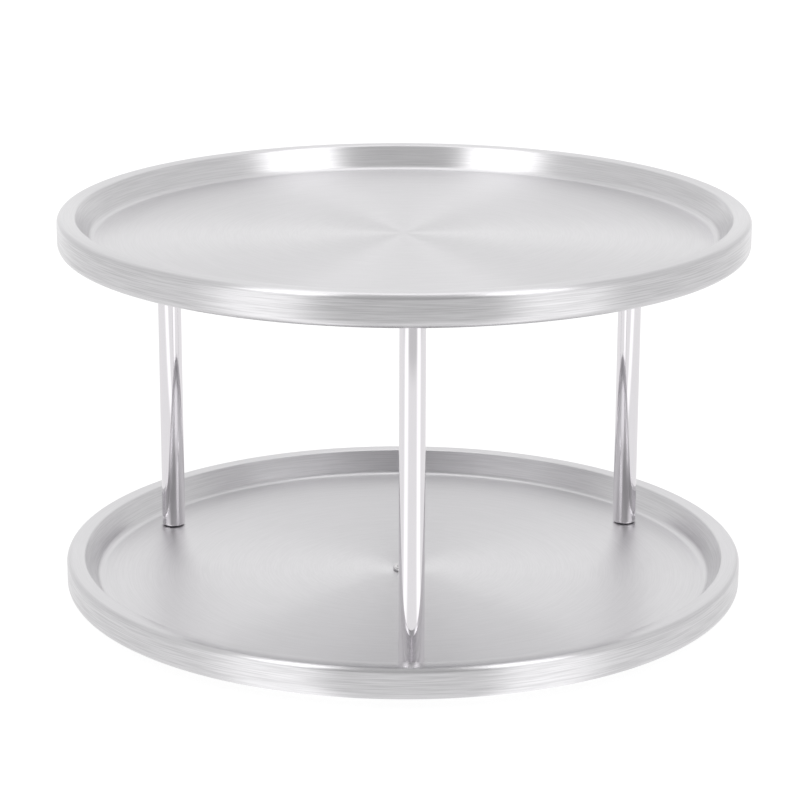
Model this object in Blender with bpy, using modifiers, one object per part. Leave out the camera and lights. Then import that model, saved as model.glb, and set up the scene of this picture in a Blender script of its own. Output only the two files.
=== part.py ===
"""Two-tier lazy susan turntable, in metres, +Z up, standing on z = 0 with its axis on Z.

Two pressed steel trays on three tubular posts turn on a ring of balls over a base plate
that stands still on rubber feet. A rivet through the middle holds the trays to the base.
"""

import math

import bmesh
import bpy

# Driving dimensions
TRAY_RADIUS = 0.1335
TIER_SPACING = 0.13687
RIM_CLEARANCE = 0.005  # from the table to the lower tray's bottom edge
TRAY_SHEET = 0.0007
POST_RADIUS = 0.00475
POST_WALL = 0.0007
POST_CIRCLE = 0.1089
POST_ANGLES = tuple(math.radians(angle) for angle in (270, 30, 150))
BALL_RADIUS = 0.002
BALL_COUNT = 12
BALL_CIRCLE = 0.055
PLATE_RADIUS = 0.092
PLATE_SHEET = 0.0008
FOOT_COUNT = 4
FOOT_CIRCLE = 0.078
TOUCH_GAP = 0.0003  # between pieces that touch or are pressed together
RUNNING_GAP = 0.00005  # between a ball and each of its races

# The tray's section, from the bottom edge of its rim
FLOOR_RISE = 0.00325
FLOOR_RADIUS = 0.1209
RIM_INNER_RADIUS = 0.1266
RIM_INNER_HEIGHT = 0.0125
CROWN_RADIUS = 0.1296
CROWN_HEIGHT = 0.0128
SHOULDER_HEIGHT = 0.01245
HEM_RADIUS = 0.1293
FLOOR_FILLET = 0.001
RIM_INNER_FILLET = 0.0018
SHOULDER_FILLET = 0.0022
HEM_FILLET = 0.0029

# The lower tray's dimple and the pivot
DIMPLE_DEPTH = 0.0011
DIMPLE_FLOOR_RADIUS = 0.0115
DIMPLE_RADIUS = 0.014
RIVET_RADIUS = 0.002
RIVET_HOLE_RADIUS = 0.00215
RIVET_HEAD_RADIUS = 0.004
RIVET_HEAD_HEIGHT = 0.0013
RIVET_RECESS_RADIUS = 0.0019
RIVET_RECESS_DEPTH = 0.0009
RIVET_FOOT_RADIUS = 0.0038
RIVET_FOOT_HEIGHT = 0.0009
PIVOT_WASHER_RADIUS = 0.008
PIVOT_WASHER_THICKNESS = 0.0005
PIVOT_WASHER_GAP = 0.00015
HUB_RADIUS = 0.010
HUB_FOOT_RADIUS = 0.015

# The ball race
GROOVE_RADIUS = 0.0023
GROOVE_DEPTH = 0.0011
RACE_GROOVE_DEPTH = 0.0004
RACE_HALF_WIDTH = 0.006
CAGE_HALF_WIDTH = 0.0042
CAGE_THICKNESS = 0.001
CAGE_POCKET_RADIUS = 0.00215
PLATE_EDGE_DROP = 0.0014
PLATE_EDGE_FILLET = 0.0012

# The posts' fixings
THREAD_RADIUS = 0.0024
THREAD_HOLE_RADIUS = 0.00265
SCREW_HOLE_RADIUS = 0.0028
INSERT_RADIUS = 0.0038
INSERT_LENGTH = 0.012
INSERT_SET_BACK = 0.0012
STUD_LENGTH = 0.011
STUD_FLANGE_RADIUS = 0.0034
STUD_FLANGE_HEIGHT = 0.0006
SCREW_REACH = 0.010  # above the lower tray's floor
SCREW_HEAD_RADIUS = 0.0045
SCREW_HEAD_HEIGHT = 0.0024
SCREW_SLOT_WIDTH = 0.0011
SCREW_SLOT_LENGTH = 0.005
SCREW_SLOT_DEPTH = 0.0013
SCREW_WASHER_RADIUS = 0.0055
SCREW_WASHER_THICKNESS = 0.0008

# The feet
FOOT_RADIUS = 0.007
FOOT_NECK_RADIUS = 0.0028
FOOT_HOLE_RADIUS = 0.0031
FOOT_HEAD_RADIUS = 0.0043
FOOT_HEAD_HEIGHT = 0.0012

# Heights above the table that follow from the dimensions above
FLOOR_TOP = RIM_CLEARANCE + FLOOR_RISE
FLOOR_UNDERSIDE = FLOOR_TOP - TRAY_SHEET
UPPER_RIM_BOTTOM = RIM_CLEARANCE + TIER_SPACING
UPPER_FLOOR_UNDERSIDE = UPPER_RIM_BOTTOM + FLOOR_RISE - TRAY_SHEET
DIMPLE_TOP = FLOOR_TOP - DIMPLE_DEPTH
DIMPLE_UNDERSIDE = DIMPLE_TOP - TRAY_SHEET
RACE_GROOVE_UNDERSIDE = FLOOR_UNDERSIDE - TOUCH_GAP - PLATE_SHEET
RACE_UNDERSIDE = RACE_GROOVE_UNDERSIDE - RACE_GROOVE_DEPTH
BALL_HEIGHT = RACE_GROOVE_UNDERSIDE - RUNNING_GAP - BALL_RADIUS
GROOVE_TOP = BALL_HEIGHT - BALL_RADIUS - RUNNING_GAP
PLATE_TOP = GROOVE_TOP + GROOVE_DEPTH
PLATE_UNDERSIDE = PLATE_TOP - PLATE_SHEET
HUB_TOP = DIMPLE_UNDERSIDE - 2 * PIVOT_WASHER_GAP - PIVOT_WASHER_THICKNESS
POST_BOTTOM = FLOOR_TOP + TOUCH_GAP
POST_TOP = UPPER_FLOOR_UNDERSIDE - TOUCH_GAP

# Sides of round pieces
TRAY_SIDES = 60
PLATE_SIDES = 36
POST_SIDES = 20
SMALL_SIDES = 12
ARC_STEP = math.radians(30)
SHARP_ANGLE = math.radians(35)
MERGE_DISTANCE = 0.00001


def rounded(corners):
    """Points along a section of (radius, height, fillet) corners, with an arc at each filleted one."""
    points = []
    for index, (radius, height, fillet) in enumerate(corners):
        if not fillet:
            points.append((radius, height))
            continue
        before, after = corners[index - 1], corners[index + 1]
        into = math.atan2(height - before[1], radius - before[0])
        out = math.atan2(after[1] - height, after[0] - radius)
        turn = (out - into + math.pi) % (2 * math.pi) - math.pi
        side = math.copysign(1, turn)
        back = fillet * math.tan(abs(turn) / 2)
        centre_radius = radius - back * math.cos(into) - side * fillet * math.sin(into)
        centre_height = height - back * math.sin(into) + side * fillet * math.cos(into)
        steps = max(1, round(abs(turn) / ARC_STEP))
        for step in range(steps + 1):
            angle = into - side * math.pi / 2 + turn * step / steps
            points.append(
                (
                    centre_radius + fillet * math.cos(angle),
                    centre_height + fillet * math.sin(angle),
                )
            )
    return points


def finished_mesh(draft):
    """The draft object's evaluated mesh, shaded smooth between its sharp edges. The draft is removed."""
    bpy.context.scene.collection.objects.link(draft)
    graph = bpy.context.evaluated_depsgraph_get()
    mesh = bpy.data.meshes.new_from_object(draft.evaluated_get(graph))
    mesh.name = draft.name
    bpy.data.objects.remove(draft)
    mesh.shade_smooth()
    mesh.set_sharp_from_angle(angle=SHARP_ANGLE)
    return mesh


def turned(name, profile, sides, ring=False, sheet=0.0):
    """The mesh of a (radius, height) profile turned about Z.

    The profile runs outwards over the top and down the outer side. A ring's profile closes on
    itself. A sheet's profile is its outer face, and the thickness goes behind it.
    """
    outline = bmesh.new()
    points = [outline.verts.new((radius, 0.0, height)) for radius, height in profile]
    for first, second in zip(points, points[1:]):
        outline.edges.new((first, second))
    if ring:
        outline.edges.new((points[-1], points[0]))
    mesh = bpy.data.meshes.new(name)
    outline.to_mesh(mesh)
    outline.free()
    draft = bpy.data.objects.new(name, mesh)
    screw = draft.modifiers.new("Turn", "SCREW")
    screw.steps = sides
    screw.render_steps = sides
    screw.use_merge_vertices = True
    screw.merge_threshold = MERGE_DISTANCE
    if sheet:
        solidify = draft.modifiers.new("Sheet", "SOLIDIFY")
        solidify.thickness = sheet
        solidify.use_even_offset = True
    return finished_mesh(draft)


def ring_profile(inner, outer, bottom, top):
    """The four corners of a flat ring's section, clockwise from the top of its bore."""
    return [(inner, top), (outer, top), (outer, bottom), (inner, bottom)]


def add_cylinder(shape, radius, bottom, top, place=(0.0, 0.0), sides=SMALL_SIDES):
    """Adds an upright cylinder to a bmesh."""
    made = bmesh.ops.create_cone(
        shape, cap_ends=True, segments=sides, radius1=radius, radius2=radius, depth=top - bottom
    )
    bmesh.ops.translate(shape, verts=made["verts"], vec=(*place, (top + bottom) / 2))


def add_block(shape, size, centre):
    """Adds a box to a bmesh."""
    made = bmesh.ops.create_cube(shape, size=1.0)
    bmesh.ops.scale(shape, verts=made["verts"], vec=size)
    bmesh.ops.translate(shape, verts=made["verts"], vec=centre)


def cutter(name, shape, collection):
    """A wire-drawn helper object made from a bmesh, for a Boolean to subtract."""
    mesh = bpy.data.meshes.new(name)
    shape.to_mesh(mesh)
    shape.free()
    helper = bpy.data.objects.new(name, mesh)
    helper.hide_render = True
    helper.display_type = "WIRE"
    collection.objects.link(helper)
    return helper


def subtract(piece, helper):
    """Cuts the helper out of the piece with a live Boolean."""
    boolean = piece.modifiers.new(helper.name, "BOOLEAN")
    boolean.operation = "DIFFERENCE"
    boolean.solver = "EXACT"
    boolean.object = helper


def on_circle(radius, angle):
    """The point at this radius and angle."""
    return radius * math.cos(angle), radius * math.sin(angle)


def around(count, first=0.0):
    """Evenly spaced angles."""
    return [first + 2 * math.pi * index / count for index in range(count)]


def make_material(name, colour, roughness, metallic):
    """A plain Principled material."""
    material = bpy.data.materials.new(name)
    material.use_nodes = True
    shader = material.node_tree.nodes["Principled BSDF"]
    shader.inputs["Base Color"].default_value = (*colour, 1.0)
    shader.inputs["Roughness"].default_value = roughness
    shader.inputs["Metallic"].default_value = metallic
    return material


class Assembly:
    """The object's collections, joint empties and materials, and the pieces placed in them."""

    def __init__(self, name):
        scene = bpy.context.scene.collection
        self.parts = bpy.data.collections.new(name)
        self.cutters = bpy.data.collections.new("cutters")
        scene.children.link(self.parts)
        scene.children.link(self.cutters)
        self.base = self.axis("base_frame")
        self.cage = self.axis("cage_axis")
        self.turntable = self.axis("turntable_axis")
        self.brushed = make_material("brushed_stainless", (0.55, 0.54, 0.55), 0.32, 1.0)
        self.polished = make_material("polished_stainless", (0.66, 0.65, 0.66), 0.06, 1.0)
        self.plated = make_material("plated_steel", (0.50, 0.50, 0.52), 0.38, 1.0)
        self.bearing = make_material("bearing_steel", (0.62, 0.62, 0.63), 0.12, 1.0)
        self.rubber = make_material("black_rubber", (0.022, 0.022, 0.024), 0.75, 0.0)
        self.nylon = make_material("white_nylon", (0.72, 0.71, 0.67), 0.45, 0.0)

    def axis(self, name):
        """An empty on the turning axis."""
        empty = bpy.data.objects.new(name, None)
        empty.empty_display_size = TRAY_RADIUS
        self.parts.objects.link(empty)
        return empty

    def add(self, name, mesh, material, parent, place=(0.0, 0.0, 0.0), turn=0.0):
        """Places one named piece."""
        piece = bpy.data.objects.new(name, mesh)
        if not mesh.materials:
            mesh.materials.append(material)
        piece.location = place
        piece.rotation_euler.z = turn
        piece.parent = parent
        self.parts.objects.link(piece)
        return piece


def rim_corners(bottom):
    """The tray's section from the edge of its floor, over the rim and under the hem."""
    return [
        (FLOOR_RADIUS, bottom + FLOOR_RISE, FLOOR_FILLET),
        (RIM_INNER_RADIUS, bottom + RIM_INNER_HEIGHT, RIM_INNER_FILLET),
        (CROWN_RADIUS, bottom + CROWN_HEIGHT, 0.0),
        (TRAY_RADIUS, bottom + SHOULDER_HEIGHT, SHOULDER_FILLET),
        (TRAY_RADIUS, bottom, HEM_FILLET),
        (HEM_RADIUS, bottom, 0.0),
    ]


def add_trays(assembly):
    """The two pans. The lower one is dimpled for the rivet and drilled for the posts' screws."""
    centre = [(0.0, UPPER_RIM_BOTTOM + FLOOR_RISE, 0.0)]
    upper = turned(
        "upper_tray",
        rounded(centre + rim_corners(UPPER_RIM_BOTTOM)),
        TRAY_SIDES,
        sheet=TRAY_SHEET,
    )
    assembly.add("upper_tray", upper, assembly.brushed, assembly.turntable)

    dimple = [
        (RIVET_HOLE_RADIUS, DIMPLE_TOP, 0.0),
        (DIMPLE_FLOOR_RADIUS, DIMPLE_TOP, 0.0),
        (DIMPLE_RADIUS, FLOOR_TOP, 0.0),
    ]
    lower = turned(
        "lower_tray",
        rounded(dimple + rim_corners(RIM_CLEARANCE)),
        TRAY_SIDES,
        sheet=TRAY_SHEET,
    )
    pan = assembly.add("lower_tray", lower, assembly.brushed, assembly.turntable)
    holes = bmesh.new()
    for angle in POST_ANGLES:
        place = on_circle(POST_CIRCLE, angle)
        add_cylinder(holes, SCREW_HOLE_RADIUS, FLOOR_UNDERSIDE - 0.001, FLOOR_TOP + 0.001, place)
    subtract(pan, cutter("screw_holes", holes, assembly.cutters))


def add_posts(assembly):
    """The tubes, the plugs pressed into their ends, and the studs, screws and washers that hold them."""
    bore = POST_RADIUS - POST_WALL
    chamfer = 0.0004
    tube = turned(
        "post",
        [
            (bore, POST_TOP),
            (POST_RADIUS, POST_TOP),
            (POST_RADIUS, POST_BOTTOM + chamfer),
            (POST_RADIUS - chamfer, POST_BOTTOM),
            (bore, POST_BOTTOM),
        ],
        POST_SIDES,
        ring=True,
    )
    plug = turned(
        "insert",
        ring_profile(THREAD_HOLE_RADIUS, INSERT_RADIUS, 0.0, INSERT_LENGTH),
        SMALL_SIDES,
        ring=True,
    )
    stud_top = UPPER_FLOOR_UNDERSIDE - TOUCH_GAP
    stud = turned(
        "stud",
        [
            (0.0, stud_top),
            (STUD_FLANGE_RADIUS, stud_top),
            (STUD_FLANGE_RADIUS, stud_top - STUD_FLANGE_HEIGHT),
            (THREAD_RADIUS, stud_top - STUD_FLANGE_HEIGHT),
            (THREAD_RADIUS, stud_top - STUD_LENGTH + chamfer),
            (THREAD_RADIUS - chamfer, stud_top - STUD_LENGTH),
            (0.0, stud_top - STUD_LENGTH),
        ],
        SMALL_SIDES,
    )
    washer_top = FLOOR_UNDERSIDE - TOUCH_GAP
    washer_bottom = washer_top - SCREW_WASHER_THICKNESS
    washer = turned(
        "screw_washer",
        ring_profile(SCREW_HOLE_RADIUS, SCREW_WASHER_RADIUS, washer_bottom, washer_top),
        SMALL_SIDES,
        ring=True,
    )
    screw = screw_mesh(washer_bottom - TOUCH_GAP)
    for number, angle in enumerate(POST_ANGLES, start=1):
        place = (*on_circle(POST_CIRCLE, angle), 0.0)
        low = (place[0], place[1], POST_BOTTOM + INSERT_SET_BACK)
        high = (place[0], place[1], POST_TOP - INSERT_SET_BACK - INSERT_LENGTH)
        turntable = assembly.turntable
        assembly.add(f"post_{number}", tube, assembly.polished, turntable, place, angle)
        assembly.add(f"lower_insert_{number}", plug, assembly.plated, turntable, low, angle)
        assembly.add(f"upper_insert_{number}", plug, assembly.plated, turntable, high, angle)
        assembly.add(f"stud_{number}", stud, assembly.plated, turntable, place, angle)
        assembly.add(f"screw_washer_{number}", washer, assembly.plated, turntable, place, angle)
        assembly.add(f"screw_{number}", screw, assembly.plated, turntable, place, angle)


def screw_mesh(head_top):
    """A pan-head screw with a cross recess, point up, its head hanging below head_top."""
    head_bottom = head_top - SCREW_HEAD_HEIGHT
    tip = FLOOR_TOP + SCREW_REACH
    chamfer = 0.0005
    section = rounded(
        [
            (0.0, tip, 0.0),
            (THREAD_RADIUS - chamfer, tip, 0.0),
            (THREAD_RADIUS, tip - chamfer, 0.0),
            (THREAD_RADIUS, head_top, 0.0),
            (SCREW_HEAD_RADIUS, head_top, 0.0),
            (SCREW_HEAD_RADIUS, head_bottom, 0.0014),
            (0.0, head_bottom, 0.0),
        ]
    )
    draft = bpy.data.objects.new("screw", turned("screw", section, SMALL_SIDES))
    recess = bmesh.new()
    middle = (0.0, 0.0, head_bottom)
    add_block(recess, (SCREW_SLOT_LENGTH, SCREW_SLOT_WIDTH, 2 * SCREW_SLOT_DEPTH), middle)
    slot = cutter("recess_first_slot", recess, bpy.context.scene.collection)
    recess = bmesh.new()
    add_block(recess, (SCREW_SLOT_WIDTH, SCREW_SLOT_LENGTH, 2 * SCREW_SLOT_DEPTH), middle)
    cross = cutter("recess_second_slot", recess, bpy.context.scene.collection)
    subtract(draft, slot)
    subtract(draft, cross)
    mesh = finished_mesh(draft)
    bpy.data.objects.remove(slot)
    bpy.data.objects.remove(cross)
    return mesh


def groove_profile(centre_radius, centre_height, depth, steps, downwards):
    """Points across a round-bottomed groove, outwards, from lip to lip."""
    reach = math.acos((GROOVE_RADIUS - depth) / GROOVE_RADIUS)
    sign = -1 if downwards else 1
    return [
        (
            centre_radius + GROOVE_RADIUS * math.sin(angle),
            centre_height + sign * GROOVE_RADIUS * math.cos(angle),
        )
        for angle in (reach * (2 * step / steps - 1) for step in range(steps + 1))
    ]


def add_base(assembly):
    """The base plate, its rubber feet, and the pivot's washer and rivet."""
    hub = rounded(
        [
            (RIVET_HOLE_RADIUS, HUB_TOP, 0.0),
            (HUB_RADIUS, HUB_TOP, 0.0),
            (HUB_FOOT_RADIUS, PLATE_TOP, 0.0),
        ]
    )
    groove = groove_profile(BALL_CIRCLE, GROOVE_TOP + GROOVE_RADIUS, GROOVE_DEPTH, 6, True)
    edge = rounded(
        [
            (FOOT_CIRCLE - FOOT_RADIUS, PLATE_TOP, 0.0),
            (PLATE_RADIUS, PLATE_TOP, PLATE_EDGE_FILLET),
            (PLATE_RADIUS, PLATE_UNDERSIDE - PLATE_EDGE_DROP, 0.0),
        ]
    )
    plate_mesh = turned("base_plate", hub + groove + edge, PLATE_SIDES, sheet=PLATE_SHEET)
    plate = assembly.add("base_plate", plate_mesh, assembly.plated, assembly.base)
    feet = around(FOOT_COUNT, math.pi / FOOT_COUNT)
    holes = bmesh.new()
    for angle in feet:
        place = on_circle(FOOT_CIRCLE, angle)
        add_cylinder(holes, FOOT_HOLE_RADIUS, PLATE_UNDERSIDE - 0.001, PLATE_TOP + 0.001, place)
    subtract(plate, cutter("foot_holes", holes, assembly.cutters))

    foot = turned("foot", foot_section(), SMALL_SIDES)
    for number, angle in enumerate(feet, start=1):
        place = (*on_circle(FOOT_CIRCLE, angle), 0.0)
        assembly.add(f"foot_{number}", foot, assembly.rubber, assembly.base, place, angle)

    washer_bottom = HUB_TOP + PIVOT_WASHER_GAP
    washer = turned(
        "pivot_washer",
        ring_profile(
            RIVET_HOLE_RADIUS,
            PIVOT_WASHER_RADIUS,
            washer_bottom,
            washer_bottom + PIVOT_WASHER_THICKNESS,
        ),
        POST_SIDES,
        ring=True,
    )
    assembly.add("pivot_washer", washer, assembly.nylon, assembly.base)
    rivet = turned("pivot_rivet", rivet_section(), POST_SIDES)
    assembly.add("pivot_rivet", rivet, assembly.plated, assembly.base)


def foot_section():
    """A push-in foot: a pad on the table, a neck through the plate and a head above it."""
    pad_top = PLATE_UNDERSIDE - TOUCH_GAP
    head_bottom = PLATE_TOP + TOUCH_GAP
    head_top = head_bottom + FOOT_HEAD_HEIGHT
    return rounded(
        [
            (0.0, head_top, 0.0),
            (FOOT_HEAD_RADIUS - 0.0006, head_top, 0.0),
            (FOOT_HEAD_RADIUS, head_bottom, 0.0),
            (FOOT_NECK_RADIUS, head_bottom, 0.0),
            (FOOT_NECK_RADIUS, pad_top, 0.0),
            (FOOT_RADIUS, pad_top, 0.0),
            (FOOT_RADIUS, 0.0, 0.0006),
            (0.0, 0.0, 0.0),
        ]
    )


def rivet_section():
    """A headed rivet with a recess in its rolled upper head and a flange under the hub."""
    head_bottom = DIMPLE_TOP + PIVOT_WASHER_GAP
    head_top = head_bottom + RIVET_HEAD_HEIGHT
    foot_top = HUB_TOP - PLATE_SHEET - PIVOT_WASHER_GAP
    recess_edge = RIVET_RECESS_RADIUS + 0.0005
    return rounded(
        [
            (0.0, head_top - RIVET_RECESS_DEPTH, 0.0),
            (RIVET_RECESS_RADIUS, head_top - RIVET_RECESS_DEPTH, 0.0),
            (recess_edge, head_top, 0.0003),
            (RIVET_HEAD_RADIUS, head_top, 0.0009),
            (RIVET_HEAD_RADIUS, head_bottom, 0.0),
            (RIVET_RADIUS, head_bottom, 0.0),
            (RIVET_RADIUS, foot_top, 0.0),
            (RIVET_FOOT_RADIUS, foot_top, 0.0),
            (RIVET_FOOT_RADIUS, foot_top - RIVET_FOOT_HEIGHT, 0.0005),
            (0.0, foot_top - RIVET_FOOT_HEIGHT, 0.0),
        ]
    )


def add_bearing(assembly):
    """The grooved ring under the lower tray, the cage, and the balls between the two grooves."""
    race_groove = groove_profile(
        BALL_CIRCLE, RACE_GROOVE_UNDERSIDE - GROOVE_RADIUS, RACE_GROOVE_DEPTH, 4, False
    )
    inner_edge = (BALL_CIRCLE - RACE_HALF_WIDTH, RACE_UNDERSIDE)
    outer_edge = (BALL_CIRCLE + RACE_HALF_WIDTH, RACE_UNDERSIDE)
    underside = [outer_edge, *reversed(race_groove), inner_edge]
    race = turned("race_ring", underside, PLATE_SIDES, sheet=PLATE_SHEET)
    assembly.add("race_ring", race, assembly.plated, assembly.turntable)

    cage_section = ring_profile(
        BALL_CIRCLE - CAGE_HALF_WIDTH,
        BALL_CIRCLE + CAGE_HALF_WIDTH,
        BALL_HEIGHT - CAGE_THICKNESS / 2,
        BALL_HEIGHT + CAGE_THICKNESS / 2,
    )
    cage_mesh = turned("ball_cage", cage_section, PLATE_SIDES, ring=True)
    cage = assembly.add("ball_cage", cage_mesh, assembly.nylon, assembly.cage)
    pockets = bmesh.new()
    for angle in around(BALL_COUNT):
        place = on_circle(BALL_CIRCLE, angle)
        bottom = BALL_HEIGHT - CAGE_THICKNESS
        add_cylinder(pockets, CAGE_POCKET_RADIUS, bottom, BALL_HEIGHT + CAGE_THICKNESS, place)
    subtract(cage, cutter("cage_pockets", pockets, assembly.cutters))

    shape = bmesh.new()
    bmesh.ops.create_icosphere(shape, subdivisions=2, radius=BALL_RADIUS)
    ball = bpy.data.meshes.new("ball")
    shape.to_mesh(ball)
    shape.free()
    ball.shade_smooth()
    for number, angle in enumerate(around(BALL_COUNT), start=1):
        place = (*on_circle(BALL_CIRCLE, angle), BALL_HEIGHT)
        assembly.add(f"ball_{number:02d}", ball, assembly.bearing, assembly.cage, place, angle)


def main():
    """Clears the scene and builds the turntable."""
    for existing in list(bpy.data.objects):
        bpy.data.objects.remove(existing)
    assembly = Assembly("lazy_susan_turntable")
    add_trays(assembly)
    add_posts(assembly)
    add_base(assembly)
    add_bearing(assembly)


main()
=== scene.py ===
"""The looks of the two-tier turntable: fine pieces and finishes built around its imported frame.

Every length is in metres. Each sub-assembly is a class that builds its pieces from the
frame's own boxes, dresses them in a finish and sets them riding on their body.
"""

import logging
import math
from collections.abc import Iterable
from dataclasses import dataclass
from enum import Enum

import bmesh
import bpy
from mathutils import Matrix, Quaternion, Vector


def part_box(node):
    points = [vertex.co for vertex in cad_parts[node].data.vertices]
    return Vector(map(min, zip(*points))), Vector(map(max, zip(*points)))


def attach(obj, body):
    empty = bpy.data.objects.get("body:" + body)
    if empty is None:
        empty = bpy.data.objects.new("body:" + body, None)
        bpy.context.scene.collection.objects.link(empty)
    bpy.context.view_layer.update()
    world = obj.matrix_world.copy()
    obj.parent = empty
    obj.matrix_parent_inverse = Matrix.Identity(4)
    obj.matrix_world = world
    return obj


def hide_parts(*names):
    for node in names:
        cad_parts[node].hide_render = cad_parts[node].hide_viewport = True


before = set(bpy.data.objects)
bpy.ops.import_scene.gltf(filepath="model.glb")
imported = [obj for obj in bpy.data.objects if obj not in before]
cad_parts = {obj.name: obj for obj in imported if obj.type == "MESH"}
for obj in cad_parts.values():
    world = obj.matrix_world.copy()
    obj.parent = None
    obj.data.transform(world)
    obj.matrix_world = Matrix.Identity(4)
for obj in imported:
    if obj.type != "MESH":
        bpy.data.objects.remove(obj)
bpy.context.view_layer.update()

log = logging.getLogger("turntable")

UP = Vector((0.0, 0.0, 1.0))
WELD = 1e-7
WHITE = (1.0, 1.0, 1.0, 1.0)
POST_COUNT = 3
DRILL_SIDES = 48


class Body(Enum):
    """The bodies that the frame's joints move."""

    BASE = "base"
    CAGE = "cage"
    TURNTABLE = "turntable"


class Slot(Enum):
    """The record's material slots."""

    BRUSHED = "brushed_stainless"
    POLISHED = "polished_stainless"
    BASE = "base_stainless"
    PLATED = "plated_steel"
    RIVET = "rivet_steel"
    BEARING = "bearing_steel"
    RUBBER = "rubber"
    NYLON = "nylon"


# ---------------------------------------------------------------- shader nodes


class Value:
    """A number socket in a node sheet. Arithmetic on it adds Math nodes."""

    def __init__(self, sheet: "NodeSheet", socket: bpy.types.NodeSocket) -> None:
        """Wraps a socket.

        Args:
            sheet: The sheet that the socket belongs to.
            socket: An output socket that carries a number.
        """
        self.sheet = sheet
        self.socket = socket

    def _with(self, operation: str, first: object, second: object = 0.0) -> "Value":
        """One Math node as a new value."""
        return self.sheet.value("ShaderNodeMath", {"operation": operation}, {0: first, 1: second})

    def __add__(self, other: object) -> "Value":
        """This plus other."""
        return self._with("ADD", self, other)

    def __radd__(self, other: object) -> "Value":
        """Other plus this."""
        return self._with("ADD", other, self)

    def __sub__(self, other: object) -> "Value":
        """This minus other."""
        return self._with("SUBTRACT", self, other)

    def __rsub__(self, other: object) -> "Value":
        """Other minus this."""
        return self._with("SUBTRACT", other, self)

    def __mul__(self, other: object) -> "Value":
        """This times other."""
        return self._with("MULTIPLY", self, other)

    def __rmul__(self, other: object) -> "Value":
        """Other times this."""
        return self._with("MULTIPLY", other, self)

    def __truediv__(self, other: object) -> "Value":
        """This over other."""
        return self._with("DIVIDE", self, other)

    def __rtruediv__(self, other: object) -> "Value":
        """Other over this."""
        return self._with("DIVIDE", other, self)

    def __abs__(self) -> "Value":
        """The size of this, whatever its sign."""
        return self._with("ABSOLUTE", self)

    def root(self) -> "Value":
        """The square root."""
        return self._with("SQRT", self)

    def at_least(self, other: object) -> "Value":
        """The larger of this and other."""
        return self._with("MAXIMUM", self, other)

    def bearing(self, other: "Value") -> "Value":
        """The angle whose sine goes with this and whose cosine goes with other."""
        return self._with("ARCTAN2", self, other)

    def step(self, low: float, high: float) -> "Value":
        """A smooth rise from 0 at low to 1 at high.

        Args:
            low: Where the rise starts. It may be above high, for a fall.
            high: Where the rise ends.

        Returns:
            The eased value, between 0 and 1.
        """
        settings = {"interpolation_type": "SMOOTHSTEP"}
        sockets = {"Value": self, "From Min": low, "From Max": high}
        return self.sheet.value("ShaderNodeMapRange", settings, sockets)


class NodeSheet:
    """The node tree of one material or world, and the ways its nodes are added."""

    def __init__(self, tree: bpy.types.NodeTree) -> None:
        """Empties the tree.

        Args:
            tree: The node tree to write in.
        """
        self.tree = tree
        tree.nodes.clear()

    def add(
        self,
        kind: str,
        settings: dict[str, object] | None = None,
        sockets: dict[str | int, object] | None = None,
    ) -> bpy.types.Node:
        """Adds one node.

        Args:
            kind: The node's type.
            settings: Its own settings, which are set before its sockets.
            sockets: For each input, by name or number, a plain value or what is linked to it.

        Returns:
            The new node.
        """
        node = self.tree.nodes.new(kind)
        for name, setting in (settings or {}).items():
            setattr(node, name, setting)
        for name, content in (sockets or {}).items():
            source = content.socket if isinstance(content, Value) else content
            if isinstance(source, bpy.types.NodeSocket):
                self.tree.links.new(source, node.inputs[name])
            else:
                node.inputs[name].default_value = source
        return node

    def value(
        self,
        kind: str,
        settings: dict[str, object] | None = None,
        sockets: dict[str | int, object] | None = None,
    ) -> Value:
        """Adds a node and wraps its first output as a number."""
        return Value(self, self.add(kind, settings, sockets).outputs[0])

    def blend(self, share: object, first: object, second: object) -> bpy.types.NodeSocket:
        """Mixes two colours.

        Args:
            share: How much of the second there is, 0 to 1.
            first: A colour, plain or linked.
            second: A colour, plain or linked.

        Returns:
            The mixed colour's socket.
        """
        sockets = {0: share, 6: first, 7: second}
        return self.add("ShaderNodeMix", {"data_type": "RGBA"}, sockets).outputs[2]

    def place(self) -> tuple[bpy.types.NodeSocket, Value, Value, Value]:
        """Reads the object's own coordinates.

        Returns:
            The point as a vector, then its x, y and z.
        """
        point = self.add("ShaderNodeTexCoord").outputs["Object"]
        split = self.add("ShaderNodeSeparateXYZ", None, {0: point})
        x, y, z = (Value(self, socket) for socket in split.outputs)
        return point, x, y, z

    def noise(self, vector: object, scale: float, detail: float = 2.0) -> Value:
        """Soft noise in space, about 0.5 on average."""
        sockets = {"Vector": vector, "Scale": scale, "Detail": detail}
        return self.value("ShaderNodeTexNoise", None, sockets)


# ---------------------------------------------------------------- finishes


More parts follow.
